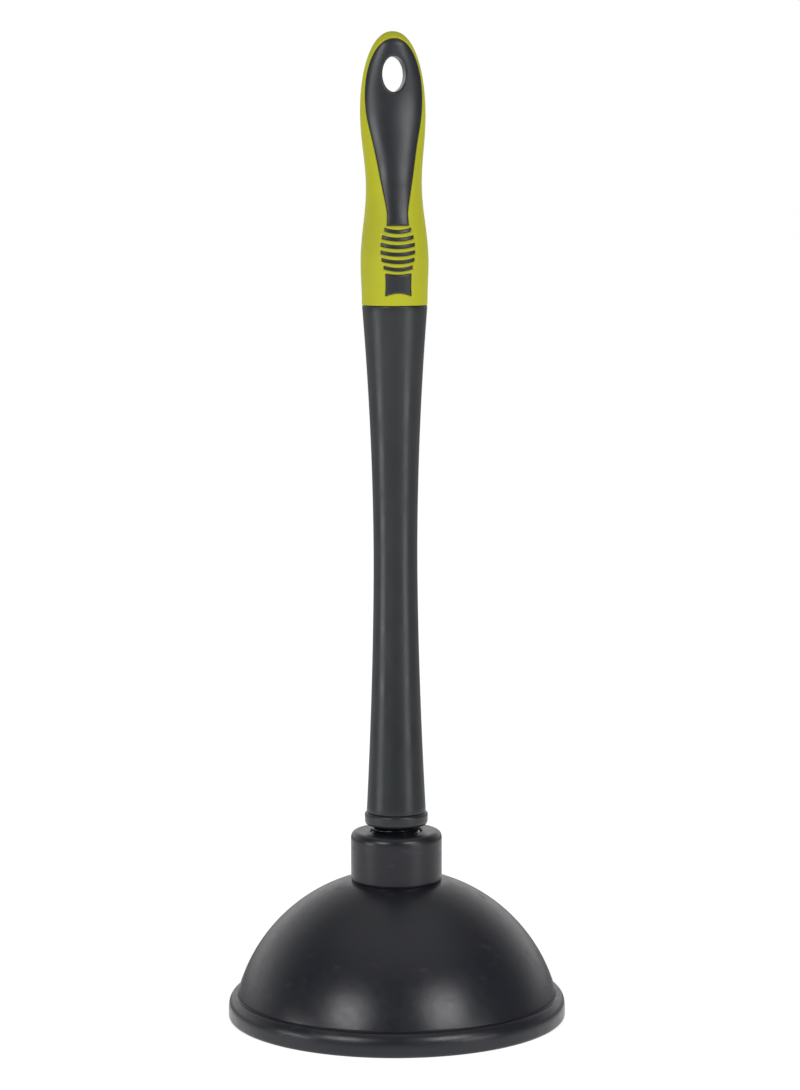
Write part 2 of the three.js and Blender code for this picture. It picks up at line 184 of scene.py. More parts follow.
PANEL_TOP = 115.1
PANEL_WIDEST = 89.5
PANEL_HALF_WIDTH = 12.7
PANEL_EXPONENT = 2.1
PANEL_FLANK = [(12.05, 81), (9.5, 68.2), (6.95, 53.1), (4.7, 40.5), (5, 34.5)]  # (half width, height)
PANEL_FLANK_STEPS = 40
PANEL_HEAD_STEPS = 30
RIB_COUNT = 6
RIB_PITCH = 3.27
RIB_FIRST = 15.55
RIB_THICKNESS = 1.65
RIB_SAG = 1.1
RIB_FIELD_CENTRE = 23.6
RIB_FIELD_HALF_HEIGHT = 14
RIB_FIELD_HALF_WIDTH = 7.9
TAIL_TOP = 14
TAIL_BOTTOM = 4
TAIL_ARCH = 1.4
TAIL_HALF_WIDTH = 5.9
TAIL_WAIST = 0.5
EYE_HEIGHT = 99.6
EYE_HALF_WIDTH = 5.25
EYE_HALF_HEIGHT = 7.7
EYE_EDGE = 0.9
EYE_STEPS = 72
EYE_WALL_STEPS = 10
CORE_SPIGOT_EDGE = 0.8 * MM

ROUND = 160  # columns round the cup
FINE = 96  # columns round the small turned pieces
GRIP_COLUMNS = 240
GRIP_ROW = 0.42
CROWN = 12  # the top of the grip, whose rows draw closer together
CROWN_ROWS = 36
MERGE_DISTANCE = 1e-6
TOUCHING = 1e-9


# ---------------------------------------------------------------- meshes

def mesh_piece(name, parts, material):
    """A smooth-shaded object from [(points, faces), ...], with the parts' shared rims merged."""
    mesh = bpy.data.meshes.new(name)
    points, faces, start = [], [], 0
    for part_points, part_faces in parts:
        points += [tuple(p) for p in part_points]
        faces += [tuple(start + i for i in face) for face in part_faces]
        start += len(part_points)
    mesh.from_pydata(points, [], faces)
    build = bmesh.new()
    build.from_mesh(mesh)
    bmesh.ops.remove_doubles(build, verts=build.verts, dist=MERGE_DISTANCE)
    bmesh.ops.recalc_face_normals(build, faces=build.faces)
    if build.calc_volume(signed=True) < 0:
        bmesh.ops.reverse_faces(build, faces=build.faces)
    build.to_mesh(mesh)
    build.free()
    mesh.polygons.foreach_set("use_smooth", [True] * len(mesh.polygons))
    mesh.materials.append(material)
    piece = bpy.data.objects.new(name, mesh)
    bpy.context.scene.collection.objects.link(piece)
    return piece


def band_faces(rows, columns):
    """The quads of a grid of points whose columns go all the way round."""
    return [
        (r * columns + c, r * columns + (c + 1) % columns,
         (r + 1) * columns + (c + 1) % columns, (r + 1) * columns + c)
        for r in range(rows - 1)
        for c in range(columns)
    ]


def turned(profile, columns):
    """A surface turned round the Z axis from (radius, height) points. Its points on the axis are merged
    by mesh_piece."""
    angles = 2 * math.pi * np.arange(columns) / columns
    profile = np.array(profile, float)
    points = np.stack(
        [np.outer(profile[:, 0], np.cos(angles)), np.outer(profile[:, 0], np.sin(angles)),
         np.repeat(profile[:, 1:], columns, axis=1)], axis=-1)
    return points.reshape(-1, 3), band_faces(len(profile), columns)


def rounded(corners, steps=6, closed=True):
    """A profile through (radius, height, rounding) corners. Each rounding is the length it takes off
    the straight stretches beside it, and a close point on each side keeps those stretches straight."""
    holding = 1.3
    count = len(corners)
    out = []
    for i, (radius, height, size) in enumerate(corners):
        at = np.array([radius, height])
        if size == 0 or (not closed and i in (0, count - 1)):
            out.append(at)
            continue
        before = np.array(corners[i - 1][:2]) - at
        after = np.array(corners[(i + 1) % count][:2]) - at
        before /= np.linalg.norm(before)
        after /= np.linalg.norm(after)
        start, end = at + before * size, at + after * size
        out.append(at + before * size * holding)
        for t in np.linspace(0, 1, steps):
            out.append((1 - t) ** 2 * start + 2 * t * (1 - t) * at + t**2 * end)
        out.append(at + after * size * holding)
    return out


def closed_ring(profile):
    return list(profile) + [profile[0]]


def smooth(share):
    """Eases a share from 0 to 1, level at both ends."""
    return share * share * (3 - 2 * share)


def helical_band(base, tooth, low, high, fade, columns):
    """A threaded cylinder between two heights. tooth gives (share of a pitch, radial offset) points of
    one thread, which climbs one pitch in each turn and fades out over fade at both ends."""
    steps = len(tooth)
    first = math.floor((low - HANDLE_Z) / PITCH) - 2
    last = math.ceil((high - HANDLE_Z) / PITCH) + 2
    turns = 1 + last - first
    share = np.array([t for t, _ in tooth])
    offset = np.array([o for _, o in tooth])
    height = (np.arange(turns)[:, None] + first + share[None, :]).reshape(-1) * PITCH + HANDLE_Z
    offset = np.tile(offset, turns)
    climb = np.arange(columns) / columns
    z = np.clip(height[:, None] + PITCH * climb[None, :], low, high)
    full = np.clip(np.minimum(z - low, high - z) / fade, 0, 1)
    radius = base + offset[:, None] * smooth(full)
    angle = 2 * math.pi * climb[None, :] + 0 * z
    points = np.stack([radius * np.cos(angle), radius * np.sin(angle), z], axis=-1).reshape(-1, 3)
    faces = []
    for row in range(turns * steps - steps - 1):
        for column in range(columns):
            right, lift = (column + 1, 0) if column + 1 < columns else (0, steps)
            corners = [(row, column), (row + lift, right), (row + 1 + lift, right), (row + 1, column)]
            flat = [r * columns + c for r, c in corners]
            heights = {round(float(points[i][2]), 9) for i in flat}
            if len(heights) > 1:
                faces.append(tuple(flat))
    return points, faces


def tooth_profile(root_width, crest_width, height, steps=5):
    """One thread, in shares of a pitch: a flat root, and a tooth with rounded foot and crest."""
    half_root, half_crest = root_width / PITCH / 2, crest_width / PITCH / 2
    rise = half_root - half_crest
    out = [(-0.5, 0.0), (-0.5 + (0.5 - half_root) / 2, 0.0)]
    for t in np.linspace(0, 1, steps + 1):
        out.append((-half_root + rise * t, height * smooth(t)))
    out.append((0.0, height))
    for t in np.linspace(1, 0, steps + 1):
        out.append((half_root - rise * t, height * smooth(t)))
    out.append((0.5 - (0.5 - half_root) / 2, 0.0))
    return out


# ---------------------------------------------------------------- materials

class Nodes:
    """Short calls for building one procedural material."""

    def __init__(self, name):
        self.material = bpy.data.materials.new(name)
        self.material.use_nodes = True
        self.tree = self.material.node_tree
        self.shader = self.tree.nodes["Principled BSDF"]
        self.place = self.add("ShaderNodeTexCoord").outputs["Object"]

    def add(self, kind, **inputs):
        node = self.tree.nodes.new(kind)
        for name, value in inputs.items():
            self.set(node, name.replace("_", " "), value)
        return node

    def set(self, node, name, value):
        if isinstance(value, bpy.types.NodeSocket):
            self.tree.links.new(value, node.inputs[name])
        else:
            node.inputs[name].default_value = value

    def noise(self, size, detail=3.0, stretch=(1, 1, 1)):
        """Noise whose lumps are about size across, as a number from 0 to 1."""
        mapping = self.add("ShaderNodeMapping", Vector=self.place, Scale=stretch)
        node = self.add("ShaderNodeTexNoise", Vector=mapping.outputs[0], Scale=1 / size, Detail=detail)
        return node.outputs["Fac"]

    def ramp(self, value, low, high, low_to=0.0, high_to=1.0):
        node = self.add("ShaderNodeMapRange", Value=value, From_Min=low, From_Max=high,
                        To_Min=low_to, To_Max=high_to)
        return node.outputs["Result"]

    def mix(self, share, first, second):
        node = self.tree.nodes.new("ShaderNodeMix")
        node.data_type = "RGBA"
        for index, value in ((0, share), (6, first), (7, second)):
            if isinstance(value, bpy.types.NodeSocket):
                self.tree.links.new(value, node.inputs[index])
            else:
                node.inputs[index].default_value = value
        return node.outputs[2]

    def bump(self, height, strength, distance, under=None):
        node = self.add("ShaderNodeBump", Height=height, Strength=strength, Distance=distance)
        if under is not None:
            self.tree.links.new(under, node.inputs["Normal"])
        return node.outputs["Normal"]

    def edge_wear(self, most):
        """Patchy wear on outer edges, up to a share, from the mesh's own pointiness."""
        edge = self.ramp(self.add("ShaderNodeNewGeometry").outputs["Pointiness"], 0.52, 0.62)
        patches = self.ramp(self.noise(0.007, 4), 0.35, 0.65, 0.2, 1)
        node = self.add("ShaderNodeMath")
        node.operation = "MULTIPLY"
        self.tree.links.new(edge, node.inputs[0])
        self.tree.links.new(self.ramp(patches, 0, 1, 0, most), node.inputs[1])
        return node.outputs[0]


def colour(red, green, blue):
    """An sRGB colour, each part from 0 to 255, as linear light."""
    def linear(part):
        part /= 255
        return part / 12.92 if part <= 0.04045 else ((part + 0.055) / 1.055) ** 2.4
    return (linear(red), linear(green), linear(blue), 1.0)


def rubber_material():
    """Satin black moulded rubber: faint bloom in soft patches, fine pores and a few dull scuffs."""
    n = Nodes("satin_black_rubber")
    bloom = n.ramp(n.noise(0.045, 4), 0.42, 0.66)
    scuff = n.ramp(n.noise(0.012, 5, (1, 1, 3)), 0.62, 0.72)
    base = n.mix(n.ramp(bloom, 0, 1, 0, 0.5), colour(28, 29, 36), colour(36, 37, 45))
    base = n.mix(n.ramp(scuff, 0, 1, 0, 0.3), base, colour(58, 58, 61))
    n.set(n.shader, "Base Color", n.mix(n.edge_wear(0.35), base, colour(66, 66, 70)))
    rough = n.ramp(n.noise(0.004, 3), 0.3, 0.7, 0.28, 0.34)
    worn = n.add("ShaderNodeMath")
    worn.operation = "ADD"
    n.tree.links.new(rough, worn.inputs[0])
    n.tree.links.new(n.ramp(scuff, 0, 1, 0, 0.1), worn.inputs[1])
    n.set(n.shader, "Roughness", worn.outputs[0])
    n.shader.inputs["IOR"].default_value = 1.5
    pores = n.bump(n.noise(0.0006, 2), 0.12, 0.0002)
    n.set(n.shader, "Normal", n.bump(n.noise(0.009, 2), 0.12, 0.0005, pores))
    return n.material


def plastic_material(name, dark, light, roughness, grain):
    """Moulded polypropylene: slow tone drift, an eggshell skin and light rubbing on its edges."""
    n = Nodes(name)
    drift = n.ramp(n.noise(0.03, 3, (1, 1, 0.35)), 0.35, 0.65)
    base = n.mix(drift, dark, light)
    n.set(n.shader, "Base Color", n.mix(n.edge_wear(0.4), base, colour(78, 81, 85)))
    n.set(n.shader, "Roughness", n.ramp(n.noise(0.006, 4, (1, 1, 0.5)), 0.3, 0.7,
                                        roughness - 0.04, roughness + 0.05))
    n.shader.inputs["IOR"].default_value = 1.49
    skin = n.bump(n.noise(grain, 2), 0.06, 0.00012)
    n.set(n.shader, "Normal", n.bump(n.noise(0.012, 2, (1, 1, 0.4)), 0.1, 0.0004, skin))
    return n.material


def lime_material():
    """Soft lime overmoulding: fine spark-eroded grain, slightly darker where hands hold it."""
    n = Nodes("soft_lime_rubber")
    handled = n.ramp(n.noise(0.022, 4), 0.4, 0.68)
    base = n.mix(handled, colour(185, 186, 20), colour(177, 179, 32))
    specks = n.ramp(n.noise(0.0009, 2), 0.66, 0.74, 0, 0.35)
    base = n.mix(specks, base, colour(148, 150, 26))
    n.set(n.shader, "Base Color", n.mix(n.edge_wear(0.4), base, colour(158, 158, 52)))
    n.set(n.shader, "Roughness", n.ramp(n.noise(0.003, 3), 0.3, 0.7, 0.52, 0.64))
    n.shader.inputs["Specular IOR Level"].default_value = 0.35
    n.shader.inputs["Sheen Weight"].default_value = 0.04
    n.shader.inputs["Sheen Roughness"].default_value = 0.5
    n.set(n.shader, "Normal", n.bump(n.noise(0.0005, 2), 0.2, 0.00015))
    return n.material


RUBBER = rubber_material()
SHAFT_PLASTIC = plastic_material("charcoal_shaft", colour(34, 38, 41), colour(41, 44, 47), 0.33, 0.0008)
CORE_PLASTIC = plastic_material("charcoal_core", colour(37, 39, 43), colour(43, 45, 49), 0.35, 0.0012)
THREAD_PLASTIC = plastic_material(
    "glossy_black_thread", colour(21, 21, 23), colour(26, 26, 28), 0.2, 0.0012)
LIME = lime_material()


# ---------------------------------------------------------------- cup

def bell_arc(size, low, high, steps):
    """Points of the bell's sphere of a given radius, from one height to another."""
    first, last = (math.asin((z - BELL_CENTRE_Z) / size) for z in (low, high))
    return [(size * math.cos(a), BELL_CENTRE_Z + size * math.sin(a))
            for a in np.linspace(first, last, steps)]


def bell_radius_at(size, z):
    return math.sqrt(size**2 - (z - BELL_CENTRE_Z) ** 2)


def bell_height_at(size, radius):
    return BELL_CENTRE_Z + math.sqrt(size**2 - radius**2)


def make_rim():
    """The band round the mouth: upright at its foot, leaning in over a soft shoulder to a narrow ledge.
    Inside the bell's wall a low lip closes the joint when the bell flattens."""
    inner = BELL_RADIUS - BELL_WALL
    foot = bell_radius_at(inner, 0)
    crease = bell_radius_at(BELL_RADIUS, CREASE_Z)
    inner_top = bell_radius_at(inner, CREASE_Z)
    wall = []
    for t in np.linspace(0, 1, RIM_LEAN_STEPS):
        height = RIM_LEAN_FROM + (RIM_LEAN_TO - RIM_LEAN_FROM) * t
        wall.append((RIM_RADIUS - RIM_LEAN * t**RIM_LEAN_POWER, height, 0))
    profile = rounded([
        (foot + RIM_INNER_GAP, 0, RIM_INNER_EDGE),
        (RIM_RADIUS, 0, RIM_OUTER_EDGE),
    ] + wall + [
        (RIM_RADIUS - RIM_LEAN - LEDGE_CORNER, LEDGE_Z, LEDGE_EDGE),
        (crease + FILLET_REACH, LEDGE_Z, CREASE_FILLET),
        (crease - FILLET_LEAN, LEDGE_Z + FILLET_REACH, 0),
        (crease - LIP_TUCK, LIP_Z, 0),
        (inner_top, LIP_Z - LIP_SLOPE, 0),
        ((foot + inner_top) / 2 + RIM_INSIDE_BULGE, CREASE_Z / 2, 0),
    ])
    return mesh_piece("rim_band", [turned(closed_ring(profile), ROUND)], RUBBER)


def make_bell():
    """The spherical wall, dished a little round the socket's foot. Its ends run a little way into the
    rim band and under the socket."""
    inner = BELL_RADIUS - BELL_WALL
    hole = PAD_RADIUS - PAD_GAP
    dish_from = SOCKET_RADIUS + DISH_REACH
    dish_to = SOCKET_RADIUS - BELL_UNDER_SOCKET
    low = CREASE_Z - BELL_TUCK
    profile = bell_arc(BELL_RADIUS, low, bell_height_at(BELL_RADIUS, dish_from), BELL_OUTER_STEPS)
    for share in np.linspace(0, 1, DISH_STEPS)[1:]:
        radius = dish_from + (dish_to - dish_from) * share
        profile.append((radius, bell_height_at(BELL_RADIUS, radius) - DISH_DEPTH * smooth(share)))
    profile.append((hole, profile[-1][1]))
    profile += bell_arc(inner, bell_height_at(inner, hole), low, BELL_INNER_STEPS)
    return mesh_piece("bell", [turned(closed_ring(profile), ROUND)], RUBBER)


def make_socket():
    """The boss on the bell, with a threaded blind bore and the pad that closes the bell's hole."""
    groove = tooth_profile(FEMALE_ROOT_WIDTH, FEMALE_CREST_WIDTH, FEMALE_DEPTH)
    thread_low = SOCKET_FLOOR + FEMALE_MARGIN
    thread_high = SOCKET_MOUTH_Z - FEMALE_MARGIN
    bore = helical_band(FEMALE_CREST_RADIUS, groove, thread_low, thread_high, FEMALE_FADE, FINE)
    floor = [(0, SOCKET_FLOOR), (FEMALE_CREST_RADIUS, SOCKET_FLOOR), (FEMALE_CREST_RADIUS, thread_low)]
    inside = turned(floor, FINE)
    outside = turned(
        rounded([
            (FEMALE_CREST_RADIUS, thread_high, 0),
            (SOCKET_MOUTH_RADIUS, SOCKET_MOUTH_Z, SOCKET_CHAMFER_EDGE),
            (SOCKET_MOUTH_RADIUS, SOCKET_TOP, SOCKET_MOUTH_EDGE),
            (SOCKET_RADIUS, SOCKET_TOP, SOCKET_SHOULDER),
            (SOCKET_RADIUS, SOCKET_FOOT, SOCKET_FOOT_EDGE),
            (PAD_RADIUS, SOCKET_FOOT, 0),
            (PAD_RADIUS, PAD_BOTTOM, PAD_EDGE),
            (0, PAD_BOTTOM, 0),
        ], steps=8, closed=False), FINE)
    return mesh_piece("socket", [inside, bore, outside], RUBBER)


# ---------------------------------------------------------------- handle below the grip

def make_ferrule():
    """The bead at the handle's lower end, with a low neck that the shaft stands on."""
    bore = STEM_RADIUS + FERRULE_BORE_CLEARANCE
    profile = rounded([
        (bore, HANDLE_Z, 0),
        (FERRULE_FOOT_RADIUS, HANDLE_Z, FERRULE_LOW_EDGE),
        (FERRULE_RADIUS, FERRULE_TOP, FERRULE_HIGH_EDGE),
        (SHAFT_FOOT_RADIUS - FERRULE_NECK_INSET, FERRULE_NECK_Z, 0),
        (bore, FERRULE_NECK_Z, 0),
    ], steps=9)
    return mesh_piece("ferrule_ring", [turned(closed_ring(profile), FINE)], SHAFT_PLASTIC)


def make_stem():
    """The male screw: a rounded tip, the thread, and the hollow spigot that goes up into the shaft."""
    thread = tooth_profile(MALE_ROOT_WIDTH, MALE_CREST_WIDTH, MALE_HEIGHT)
    screw = helical_band(STEM_RADIUS, thread, MALE_FROM, MALE_TO, MALE_FADE, FINE)
    tip = turned(
        rounded([(0, STEM_TIP, 0), (STEM_RADIUS, STEM_TIP, STEM_TIP_EDGE), (STEM_RADIUS, MALE_FROM, 0)],
                closed=False), FINE)
    spigot = turned(
        rounded([
            (STEM_RADIUS, MALE_TO, 0),
            (STEM_RADIUS, SPIGOT_STEP_FROM, 0),
            (SPIGOT_RADIUS, SPIGOT_STEP_TO, SPIGOT_STEP_EDGE),
            (SPIGOT_RADIUS, STEM_TOP, SPIGOT_EDGE),
            (STEM_BORE_RADIUS, STEM_TOP, STEM_BORE_EDGE),
            (STEM_BORE_RADIUS, STEM_BORE_FROM, STEM_BORE_EDGE),
            (0, STEM_BORE_FROM, 0),
        ], closed=False), FINE)
    return mesh_piece("stem_screw", [tip, screw, spigot], THREAD_PLASTIC)


def shaft_radius(height):
    """The waisted outside: widest at its ends, narrowest at the waist."""
    if height < WAIST_Z:
        share = (WAIST_Z - height) / (WAIST_Z - SHAFT_FROM)
        return WAIST_RADIUS + (SHAFT_FOOT_RADIUS - WAIST_RADIUS) * share**SHAFT_FOOT_POWER
    share = (height - WAIST_Z) / (SHAFT_TO - WAIST_Z)
    return WAIST_RADIUS + (SHAFT_HEAD_RADIUS - WAIST_RADIUS) * share**SHAFT_HEAD_POWER


def make_shaft():
    """The waisted tube, with a plain socket in each end for the stem's spigot and the core's."""
    socket_radius = SPIGOT_RADIUS + SHAFT_SOCKET_CLEARANCE
    low_step, high_step = SHAFT_FROM + SHAFT_SOCKET_DEPTH, SHAFT_TO - SHAFT_SOCKET_DEPTH
    profile = [(SHAFT_FOOT_RADIUS - SHAFT_EDGE, SHAFT_FROM),
               (SHAFT_FOOT_RADIUS - 0.2 * SHAFT_EDGE, SHAFT_FROM + SHAFT_EDGE)]
    profile += [(shaft_radius(z), z)
                for z in np.linspace(SHAFT_FROM + 2 * SHAFT_EDGE, SHAFT_TO - 2 * SHAFT_EDGE, SHAFT_ROWS)]
    profile += [
        (SHAFT_HEAD_RADIUS - 0.2 * SHAFT_EDGE, SHAFT_TO - SHAFT_EDGE),
        (SHAFT_HEAD_RADIUS - SHAFT_EDGE, SHAFT_TO),
        (socket_radius, SHAFT_TO),
        (socket_radius, high_step),
        (SHAFT_BORE_RADIUS, high_step - SHAFT_NECK),
        (SHAFT_BORE_RADIUS, low_step + SHAFT_NECK),
        (socket_radius, low_step),
        (socket_radius, SHAFT_FROM),
    ]
    return mesh_piece("shaft", [turned(closed_ring(profile), FINE)], SHAFT_PLASTIC)


# ---------------------------------------------------------------- grip

def blend(stations, height):
    """Blends smoothly between (height, value) stations."""
    at = np.array([s[0] for s in stations], float)
    value = np.array([s[1] for s in stations], float)
    height = np.clip(height, at[0], at[-1])
    above = np.clip(np.searchsorted(at, height), 1, len(at) - 1)
    share = (height - at[above - 1]) / (at[above] - at[above - 1])
    return value[above - 1] + (value[above] - value[above - 1]) * (1 - np.cos(np.pi * share)) / 2


def round_end(share, exponent):
    """The width left at a share of the way to the round end of a superellipse."""
    along = np.clip(share, 0, 1)
    return (1 - along**exponent) ** (1 / exponent)


def grip_half_width(height):
    share = (height - HEAD_FROM) / (GRIP_TOP - HEAD_FROM)
    return blend(GRIP_WIDTHS, height) * round_end(share, HEAD_EXPONENT)


def grip_half_depth(height):
    share = (height - HEAD_EDGE_FROM) / (GRIP_TOP - HEAD_EDGE_FROM)
    return blend(GRIP_DEPTHS, height) * round_end(share, 2)


def grip_point(angle, height):
    """Points of the grip's outer form, in millimetres from its bottom end. -90 degrees is the front."""
    power = 2 / blend(GRIP_SQUARENESS, height)
    cos, sin = np.cos(angle), np.sin(angle)
    x = grip_half_width(height) * np.sign(cos) * np.abs(cos) ** power
    y = grip_half_depth(height) * np.sign(sin) * np.abs(sin) ** power
    return np.stack([x, blend(GRIP_SET_BACKS, height) + y, height], axis=-1)


def grip_normal(angle, height):
    """The outer form's unit normals, from points a small step away on each side."""
    step = 0.004
    height = np.minimum(height, GRIP_TOP - 2.5 * step)
    across = grip_point(angle + step, height) - grip_point(angle - step, height)
    up = grip_point(angle, height + step) - grip_point(angle, height - step)
    out = np.cross(across, up)
    return out / np.maximum(np.linalg.norm(out, axis=-1, keepdims=True), 1e-12)


def spline(points, steps):
    """A uniform Catmull-Rom curve through points, as three.js draws its SplineCurve."""
    points = np.array(points, float)
    out = []
    for u in np.linspace(0, len(points) - 1, steps + 1):
        i = min(int(u), len(points) - 2)
        t = u - i
        p0, p1 = points[max(i - 1, 0)], points[i]
        p2, p3 = points[i + 1], points[min(i + 2, len(points) - 1)]
        v1, v2 = (p2 - p0) / 2, (p3 - p1) / 2
        cubic = 2 * (p1 - p2) + v1 + v2
        square = 3 * (p2 - p1) - 2 * v1 - v2
        out.append(cubic * t**3 + square * t**2 + v1 * t + p1)
    return np.array(out)


def bow(start, middle, end, steps=14):
    """Points of a quadratic curve whose handle is middle."""
    t = np.linspace(0, 1, steps)[:, None]
    start, middle, end = (np.array(p, float) for p in (start, middle, end))
    return (1 - t) ** 2 * start + 2 * t * (1 - t) * middle + t**2 * end


# Closed outlines in the front view, as (x, height) points in millimetres

def panel_outline():
    flank = spline([(PANEL_HALF_WIDTH, PANEL_WIDEST)] + PANEL_FLANK, PANEL_FLANK_STEPS)[::-1]
    share = np.sin(np.pi / 2 * np.linspace(0, 1, PANEL_HEAD_STEPS)[1:])
    head = np.stack([PANEL_HALF_WIDTH * round_end(share, PANEL_EXPONENT),
                     PANEL_WIDEST + (PANEL_TOP - PANEL_WIDEST) * share], axis=-1)
    right = np.concatenate([flank, head])
    return np.concatenate([right, right[-2::-1] * (-1, 1)])


def rib_outline(index):
    middle = RIB_FIRST + RIB_PITCH * index
    share = (middle + RIB_SAG / 2 - RIB_FIELD_CENTRE) / RIB_FIELD_HALF_HEIGHT
    half = RIB_FIELD_HALF_WIDTH * math.sqrt(1 - share**2)
    low, high = middle - RIB_THICKNESS / 2, middle + RIB_THICKNESS / 2
    return np.concatenate([
        bow((-half, low + RIB_SAG), (0, low - RIB_SAG), (half, low + RIB_SAG)),
        bow((half, high + RIB_SAG), (0, high - RIB_SAG), (-half, high + RIB_SAG)),
    ])


def tail_outline():
    half, waist = TAIL_HALF_WIDTH, TAIL_HALF_WIDTH - TAIL_WAIST
    low, high = TAIL_BOTTOM, TAIL_TOP
    return np.concatenate([
        bow((-half, low), (0, low + 2 * TAIL_ARCH), (half, low)),
        bow((half, low), (waist, (low + high) / 2), (half, high))[1:],
        bow((half, high), (0, high - RIB_SAG), (-half, high))[1:],
        bow((-half, high), (-waist, (low + high) / 2), (-half, low))[1:-1],
    ])


def eye_outline():
    angles = np.linspace(0, 2 * np.pi, EYE_STEPS, endpoint=False)
    return np.stack([EYE_HALF_WIDTH * np.cos(angles),
                     EYE_HEIGHT + EYE_HALF_HEIGHT * np.sin(angles)], axis=-1)


def distance_outside(points, outline):
    """Signed distance in the front view from each point to a closed outline, negative inside it."""
    nearest = np.full(len(points), 1e9)
    inside = np.zeros(len(points), bool)
    for a, b in zip(outline, np.roll(outline, -1, axis=0)):
        edge = b - a
        from_a = points - a
        along = np.clip(from_a @ edge / (edge @ edge), 0, 1)
        nearest = np.minimum(nearest, np.linalg.norm(from_a - along[:, None] * edge, axis=1))
        if edge[1] != 0:
            crosses = (a[1] > points[:, 1]) != (b[1] > points[:, 1])
            inside ^= crosses & (points[:, 0] < a[0] + from_a[:, 1] * edge[0] / edge[1])
    return np.where(inside, -nearest, nearest)


class GripGrid:
    """A fine grid over the grip's outer form, whose points are nudged onto the given outlines."""

    def __init__(self, outlines):
        self.outlines = outlines
        straight = np.arange(0, GRIP_TOP - CROWN, GRIP_ROW)
        rise = np.sin(np.pi / 2 * np.linspace(0, 1, CROWN_ROWS + 1))
        heights = np.concatenate([straight, GRIP_TOP - CROWN + CROWN * rise])
        self.rows = len(heights)
        self.angle = np.tile(GRIP_ANGLES, self.rows)
        self.height = np.repeat(heights, GRIP_COLUMNS)
        self.away = self.distances(self.angle, self.height)
        for which in range(len(outlines)):
            self.nudge(which)
        self.point = grip_point(self.angle, self.height)
        self.normal = grip_normal(self.angle, self.height)
        self.normal[-GRIP_COLUMNS:] = (0, 0, 1)

    def front_view(self, angle, height):
        return grip_point(angle, height)[:, [0, 2]]

    def distances(self, angle, height):
        at = self.front_view(angle, height)
        return np.stack([distance_outside(at, outline) for outline in self.outlines])

    def nudge(self, which):
        """Moves one end of each grid edge that crosses an outline onto that outline."""
        away = self.away[which].reshape(self.rows, GRIP_COLUMNS)
        moved = np.zeros_like(away, bool)
        for axis in (0, 1):
            other = np.roll(away, -1, axis=axis)
            crossing = away * other < 0
            if axis == 0:
                crossing[-1] = False
            nearer = np.abs(away) <= np.abs(other)
            moved |= crossing & nearer
            moved |= np.roll(crossing & ~nearer, 1, axis=axis)
        chosen = np.flatnonzero(moved)
        outline = self.outlines[which]
        at = self.front_view(self.angle[chosen], self.height[chosen])
        small = 1e-3
        for _ in range(3):
            gap = distance_outside(at, outline)
            slope = np.stack([distance_outside(at + step, outline) - gap
                              for step in ((small, 0), (0, small))], axis=-1) / small
            at = at - gap[:, None] * slope
        power = blend(GRIP_SQUARENESS, at[:, 1]) / 2
        width = grip_half_width(at[:, 1])
        cos = np.sign(at[:, 0]) * np.clip(np.abs(at[:, 0]) / width, 0, 1) ** power
        side = np.sign(np.sin(self.angle[chosen]))
        self.angle[chosen] = np.arctan2(side * np.sqrt(1 - cos**2), cos)
        self.height[chosen] = at[:, 1]
        self.away[:, chosen] = self.distances(self.angle[chosen], self.height[chosen])
        self.away[which, chosen] = 0.0

    def faces(self):
        return np.array(band_faces(self.rows, GRIP_COLUMNS))


def kept_faces(faces, away):
    """The faces, or halves of faces, where away isn't negative."""
    out = []
    lowest = away[faces].min(axis=1)
    highest = away[faces].max(axis=1)
    out += [tuple(f) for f in faces[lowest >= 0]]
    for face in faces[(lowest < 0) & (highest > 0)]:
        for start in range(4):
            corners = [face[(start + k) % 4] for k in range(4)]
            if away[corners[0]] > 0 and min(away[corners[1]], away[corners[3]]) >= 0 > away[corners[2]]:
                out.append((corners[3], corners[0], corners[1]))
                break
    return out


def open_edges(faces):
    """The directed edges that only one face has."""
    edges = {}
    for face in faces:
        for a, b in zip(face, face[1:] + face[:1]):
            edges[(a, b)] = True
    return [(a, b) for a, b in edges if (b, a) not in edges]


def edge_drop(inside, size):
    """How far a rounded edge of that size lies below the surface, at a distance inside the edge."""
    reach = np.clip(size - inside, 0, size)
    return size - np.sqrt(size**2 - reach**2)


WINDOWS = [panel_outline(), tail_outline()] + [rib_outline(i) for i in range(RIB_COUNT)]
GRIP_ANGLES = 2 * np.pi * np.arange(GRIP_COLUMNS) / GRIP_COLUMNS


def to_frame(points):
    return points * MM + np.array([0, 0, GRIP_Z])


def make_skin():
    """The soft overmoulding: an outer face with rounded window edges, an inner face and the walls."""
    grid = GripGrid(WINDOWS)
    away = grid.away.min(axis=0)
    rounding = np.where(grid.away[2:].min(axis=0) <= away + TOUCHING, RIB_EDGE, WINDOW_EDGE)
    outer = grid.point - grid.normal * edge_drop(np.maximum(away, 0), rounding)[:, None]
    inner = grid.point - grid.normal * SKIN
    inner[:GRIP_COLUMNS, 2] = 0
    faces = kept_faces(grid.faces(), away)
    count = len(outer)
    inner_faces = [tuple(count + i for i in reversed(face)) for face in faces]
    faces = [face for face in faces if len({tuple(np.round(grid.point[i], 6)) for i in face}) > 2]
    walls = [(b, a, count + a, count + b) for a, b in open_edges(faces)]
    points = to_frame(np.concatenate([outer, inner]))
    return mesh_piece("lime_skin", [(points, faces + inner_faces + walls)], LIME)


